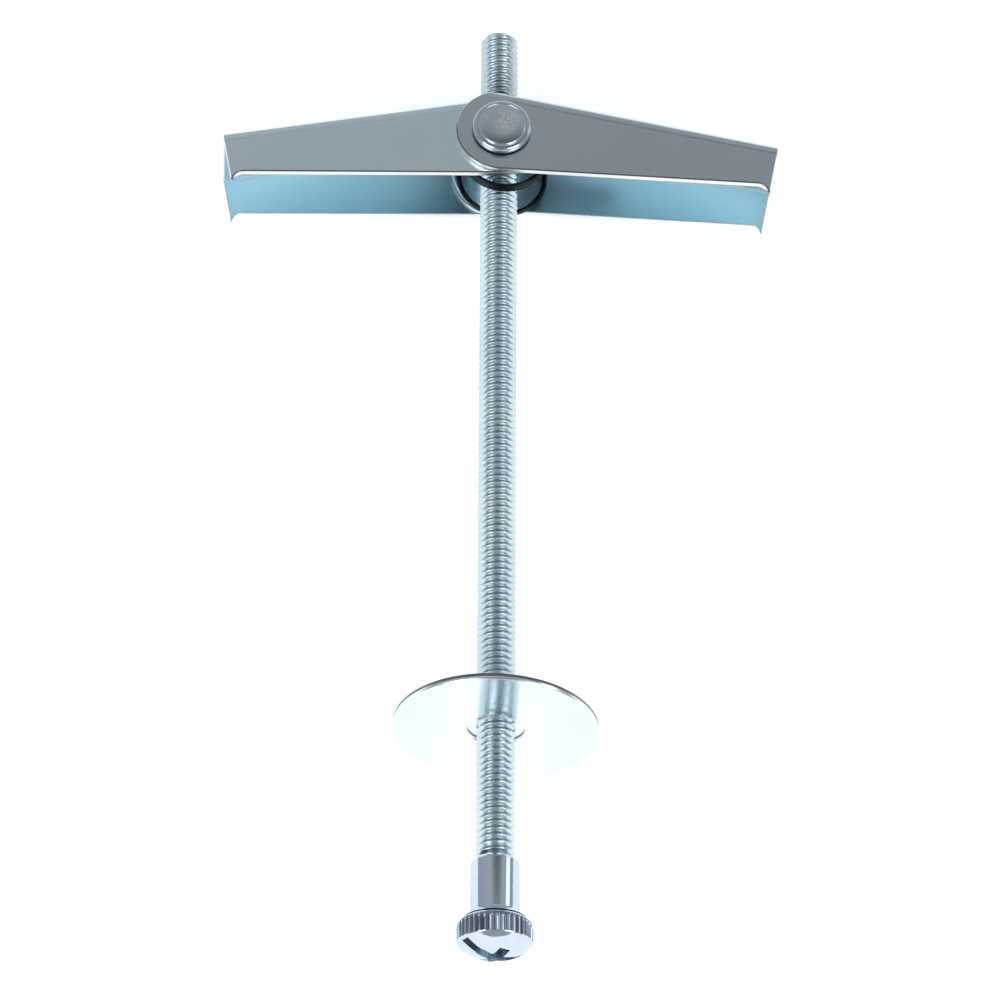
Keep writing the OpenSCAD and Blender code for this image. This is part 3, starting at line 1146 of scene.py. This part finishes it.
@dataclass
class TorsionSpring:
    """Spring of two sets of turns, one each side of the rod, with a straight leg in each wing.

    Attributes:
        spacing: Distance from turn to turn along the pivot.
        reach: How far from the rod's middle the legs leave the turns.
        shift: How far the turns' middle lies off the pivot, along the wings.
        drop: How far the turns' middle lies below the pivot.
        tilt: Slope of the legs, which is that of the wings' backs.
        cross_at: Angle at which the wire crosses from one set of turns to the other.
        cross_half: Half of the angle that the crossing takes.
        lead_in: Angle over which a leg's piece takes in the end of the turns.
        squeeze_to: Place along the wings towards which the turns close up; not used.
        squeeze: Share of their width that the turns keep when the right wing is folded; not used.
    """

    wire_r: float = 0.275
    mean_r: float = 4.525
    spacing: float = 0.56
    reach: float = 3.14
    shift: float = 0.45
    drop: float = 1.0
    leg: float = 12.0
    tilt: float = 10.85
    cross_at: float = 720.0
    cross_half: float = 20.0
    lead_in: float = 15.0
    step: float = 5.0
    squeeze_to: float = 0.15
    squeeze: float = 0.73

    @property
    def start(self) -> float:
        """Angle at which the wire leaves the right leg."""
        return 90 - self.tilt

    @property
    def end(self) -> float:
        """Angle at which the wire runs into the left leg."""
        return 1170 + self.tilt

    def across(self, angle: float) -> float:
        """Place of the wire along the pivot.

        Args:
            angle: Angle in degrees round the turns, which grows from the right leg to the left.

        Returns:
            The place in millimetres.
        """
        front = self.spacing * (angle - self.start) / 360 - self.reach
        rear = self.reach - self.spacing * (self.end - angle) / 360
        share = min(max((angle - self.cross_at + self.cross_half) / (2 * self.cross_half), 0.0), 1.0)
        share = share * share * (3 - 2 * share)
        return (1 - share) * front + share * rear

    def place(self, angle: float) -> Vector:
        """Point on the middle of the wire."""
        turn = math.radians(angle)
        return Vector((self.mean_r * math.cos(turn) + self.shift, self.across(angle),
                       self.mean_r * math.sin(turn) - self.drop))

    def sweep(self, name: str, points: Sequence[Vector]) -> bpy.types.Object:
        """Draw wire along points and turn it into a closed mesh.

        Args:
            name: Name of the new piece.
            points: Middle line of the wire.

        Returns:
            The wire.
        """
        clear_selection()
        bpy.ops.curve.primitive_nurbs_path_add()
        piece = bpy.context.object
        piece.name = name
        wire = piece.data
        wire.splines.clear()
        spline = wire.splines.new("POLY")
        spline.points.add(len(points) - 1)
        for knot, place in zip(spline.points, points):
            knot.co = (*place, 1.0)
        wire.dimensions = "3D"
        wire.twist_mode = "MINIMUM"
        wire.bevel_depth = self.wire_r
        wire.bevel_resolution = 4
        wire.use_fill_caps = True
        bpy.ops.object.convert(target="MESH")
        merge_and_turn_out(bpy.context.object)
        return bpy.context.object

    def coil(self) -> bpy.types.Object:
        """Wind the turns between the two legs.

        Returns:
            The turns.
        """
        low, high = self.start + self.lead_in, self.end - self.lead_in
        count = int((high - low) / self.step)
        angles = [low + (high - low) * i / count for i in range(count + 1)]
        return self.sweep("Spring_turns", [self.place(angle) for angle in angles])

    def leg_points(self, right: bool) -> list[Vector]:
        """Middle line of a leg, from its share of the turns to its tip.

        Args:
            right: Whether it is the right wing's leg.

        Returns:
            Thirteen points round the bend and six along the straight.
        """
        edge = self.start if right else self.end
        inward = 1 if right else -1
        turn = math.radians(edge)
        heading = Vector((-math.sin(turn), 0, math.cos(turn))) * -inward
        bend = [self.place(edge + inward * self.lead_in * (1 - i / 12)) for i in range(13)]
        return bend + [bend[-1] + heading * self.leg * i / 6 for i in range(1, 7)]


# ---- Stage, light and camera ----


@dataclass
class Studio:
    """Pale floor, a grey room that is darker overhead, and soft lamps.

    Attributes:
        shown_white: Glow of the floor that the camera and reflections see, where 1 is white.
        extra_white: Further glow that the camera alone sees.
        dark_side: Direction from the object to the middle of the dark canopy.
        onlooker: Direction from the object to whoever stands in front of it.
    """

    floor: str = "#EDEEEF"
    wall: str = "#9FACB6"
    ceiling: str = "#AEB4B8"
    canopy: str = "#888E92"
    core: str = "#646B6F"
    shown_white: float = 0.5
    extra_white: float = 0.1
    dark_side: Point = (0.06, 0.361, 0.93)
    onlooker: Point = (-0.045, -0.457, 0.888)

    def build(self) -> None:
        """Make the floor, the room and the lamps."""
        self.lay_floor()
        self.light_room()
        for name, place, size, power, colour in (
            ("Lamp_right", (0.56, 0.3, 0.32), 0.22, 0.17, "#EAF4FF"),
            ("Lamp_left_front", (-0.45, -0.38, 0.5), 0.4, 1.7, "#FCFDFF"),
            ("Lamp_right_front", (0.45, -0.4, 0.5), 0.4, 1.7, "#FFFFFF"),
        ):
            self.lamp(name, Vector(place), size, power, colour)

    def lay_floor(self) -> None:
        """White floor that keeps a soft shadow, and whose white shows in the metal too."""
        clear_selection()
        bpy.ops.mesh.primitive_grid_add(x_subdivisions=8, y_subdivisions=8, size=6.0,
                                        location=(0, 0, 0))
        floor = bpy.context.object
        floor.name = "Floor"
        material, tree, shader = new_material("Matt_white_card")
        shader.inputs["Base Color"].default_value = linear(self.floor)
        shader.inputs["Roughness"].default_value = 0.9
        shader.inputs["Specular IOR Level"].default_value = 0.1
        seen = self.seen_rays(tree)
        glow = add_node(tree, "ShaderNodeEmission", {"Color": linear("#FFFFFF")}, {"Strength": seen})
        both = add_node(tree, "ShaderNodeAddShader", None, {0: shader.outputs[0], 1: glow.outputs[0]})
        tree.links.new(both.outputs[0], tree.nodes["Material Output"].inputs["Surface"])
        floor.data.materials.append(material)

    def seen_rays(self, tree: bpy.types.NodeTree) -> bpy.types.NodeSocket:
        """Glow of the card for the camera and, a little less, for what is reflected or seen through.

        Args:
            tree: Node tree of the card.

        Returns:
            Strength of the glow, which is none as light on the object.
        """
        path = add_node(tree, "ShaderNodeLightPath")
        direct = add_node(tree, "ShaderNodeMath", {"operation": "MAXIMUM"},
                          {0: path.outputs["Is Camera Ray"], 1: path.outputs["Is Glossy Ray"]})
        any_seen = add_node(tree, "ShaderNodeMath", {"operation": "MAXIMUM"},
                            {0: direct.outputs[0], 1: path.outputs["Is Transmission Ray"]})
        glow = add_node(tree, "ShaderNodeMath", {"operation": "MULTIPLY", 1: self.shown_white},
                        {0: any_seen.outputs[0]})
        return add_node(tree, "ShaderNodeMath", {"operation": "MULTIPLY_ADD", 1: self.extra_white},
                        {0: path.outputs["Is Camera Ray"], 2: glow.outputs[0]}).outputs[0]

    def light_room(self) -> None:
        """World: plain grey walls, and a canopy above the wings that is darker still."""
        world = bpy.data.worlds.new("Room")
        bpy.context.scene.world = world
        world.use_nodes = True
        tree = world.node_tree
        tree.nodes.clear()
        way = add_node(tree, "ShaderNodeTexCoord").outputs["Generated"]
        # The canopy is wider than it is deep
        flat = add_node(tree, "ShaderNodeVectorMath",
                        {"operation": "MULTIPLY", 1: (0.45, 1.0, 1.0)}, {0: way})
        flat = add_node(tree, "ShaderNodeVectorMath", {"operation": "NORMALIZE"},
                        {0: flat.outputs["Vector"]})
        toward = add_node(tree, "ShaderNodeVectorMath", {"operation": "DOT_PRODUCT", 1: self.dark_side},
                          {0: flat.outputs["Vector"]})
        ramp = add_node(tree, "ShaderNodeValToRGB", None, {0: toward.outputs["Value"]})
        colour_steps(ramp, [(0.0, self.wall), (0.6, self.wall), (0.965, self.ceiling),
                            (0.987, self.canopy), (0.9955, self.core)])
        # Someone stands there with a camera, and shows dark in every rounded edge
        front = add_node(tree, "ShaderNodeVectorMath",
                         {"operation": "DOT_PRODUCT", 1: self.onlooker}, {0: way})
        dim = add_node(tree, "ShaderNodeMapRange", {"From Min": 0.955, "From Max": 0.98, "To Min": 1.0,
                                                    "To Max": 0.2}, {0: front.outputs["Value"]})
        sky = add_node(tree, "ShaderNodeBackground", None,
                       {"Color": ramp.outputs[0], "Strength": dim.outputs[0]})
        end = add_node(tree, "ShaderNodeOutputWorld")
        tree.links.new(sky.outputs[0], end.inputs["Surface"])

    def lamp(self, name: str, place: Vector, size: float, power: float, colour: str) -> None:
        """Add one soft square lamp that faces the object.

        Args:
            name: Name of the lamp.
            place: Its place, in metres.
            size: Length of its side, in metres.
            power: Its power, in watts.
            colour: Hex colour of its light.
        """
        clear_selection()
        bpy.ops.object.light_add(type="AREA", location=place)
        lamp = bpy.context.object
        lamp.name = name
        lamp.rotation_mode = "QUATERNION"
        lamp.rotation_quaternion = (-place).to_track_quat("-Z", "Y")
        lamp.data.size = size
        lamp.data.energy = power
        lamp.data.color = linear(colour)[:3]


@dataclass
class ViewCamera:
    """Camera that looks up the bolt from in front of its head and a little to the left.

    Attributes:
        distance: Distance from the camera to the point that it looks at.
        aim_z: Place of that point along the rod.
        below: Angle between the line of sight and the plane across the rod.
        aside: Angle by which the camera stands to the left.
        roll: Turn about the line of sight.
        shift: Share of the frame by which the view is shifted sideways.
    """

    distance: float = 502.0
    aim_z: float = -40.6
    below: float = 27.3
    aside: float = 2.92
    lens: float = 179.4
    roll: float = 0.31
    shift: float = 0.0029

    def build(self, rest: Rest) -> None:
        """Place the camera.

        Args:
            rest: Where the bolt lies.
        """
        below, aside = math.radians(self.below), math.radians(self.aside)
        reach = self.distance
        offset = (-reach * math.cos(below) * math.sin(aside),
                  -reach * math.cos(below) * math.cos(aside), -reach * math.sin(below))
        aim = rest.point((0, 0, self.aim_z))
        place = rest.point((offset[0], offset[1], offset[2] + self.aim_z))
        back = (place - aim).normalized()
        right = rest.along.cross(back).normalized()
        upward = back.cross(right)
        turn = Matrix([[right[i], upward[i], back[i]] for i in range(3)]).to_4x4()
        clear_selection()
        bpy.ops.object.camera_add()
        camera = bpy.context.object
        camera.name = "Camera"
        roll = Matrix.Rotation(math.radians(self.roll), 4, "Z")
        camera.matrix_world = Matrix.Translation(place) @ turn @ roll
        camera.data.sensor_width = 36.0
        camera.data.lens = self.lens
        camera.data.shift_x = self.shift
        camera.data.clip_start, camera.data.clip_end = 0.01, 20.0
        bpy.context.scene.camera = camera


# ---- Building the whole ----


def dress_spring(bench: Bench, spring: TorsionSpring, finish: bpy.types.Material) -> None:
    """Make the spring's turns and legs.

    Args:
        bench: Bench that lays the pieces.
        spring: Sizes of the spring.
        finish: Material of the wire.
    """
    turns = bench.hand_over(spring.coil(), [finish], Body.TOGGLE, ["torsion_spring"], 60)
    bench.rest.point((spring.squeeze_to, 0, 0))
    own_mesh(turns)
    for right, wing in ((True, Body.RIGHT_WING), (False, Body.LEFT_WING)):
        points = spring.leg_points(right)
        leg = spring.sweep("Spring_leg_right" if right else "Spring_leg_left", points)
        bench.lay(leg, [finish], 60)
        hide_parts("torsion_spring")
        bench.rest.point(points[0])
        bench.rest.point(points[12])
        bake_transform(leg)
        bench.report(leg, wing.value)


def main() -> None:
    """Build every sub-assembly in order."""
    logging.basicConfig(level=logging.INFO, format="%(name)s: %(message)s")
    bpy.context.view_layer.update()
    rest = Rest.from_joints(frame["joints"])
    ViewCamera().build(rest)
    bench = Bench(rest)
    bench.hand_over(ThreadedRod().build(), [ROD_ZINC.build(), ROOT_SHADE_ZINC.build()], Body.ROD,
                    ["threaded_rod"], 50)
    bench.hand_over(SleeveNut().build(), [NUT_ZINC.build(), RECESS_ZINC.build(), KNURL_SHADE_ZINC.build()],
                    Body.NUT, ["sleeve_nut"], 20)
    bench.hand_over(Washer().build(), [WASHER_ZINC.build(), TORN_EDGE.build()], Body.WASHER,
                    ["washer"])
    press = Wing()
    right = press.build()
    left = press.mirrored(right)
    inside = [finish.build() for finish in (CHANNEL_LIT_ZINC, EDGE_ZINC, ROLLED_EDGE_SHADE)]
    bench.hand_over(right, [RIGHT_ZINC.build(), *inside], Body.RIGHT_WING, ["right_wing"])
    bench.hand_over(left, [LEFT_ZINC.build(), *inside], Body.LEFT_WING, ["left_wing"])
    trunnion = [TRUNNION_ZINC.build(), GAP_SHADE_ZINC.build()]
    bench.hand_over(TrunnionNut().build(), trunnion, Body.TOGGLE, ["trunnion_nut"])
    dress_spring(bench, TorsionSpring(), SPRING_WIRE.build())
    Studio().build()
    bpy.context.scene.view_settings.view_transform = "Standard"
    clear_selection()
    log.info("%d pieces", len(bench.made))


if __name__ == "__main__":
    main()
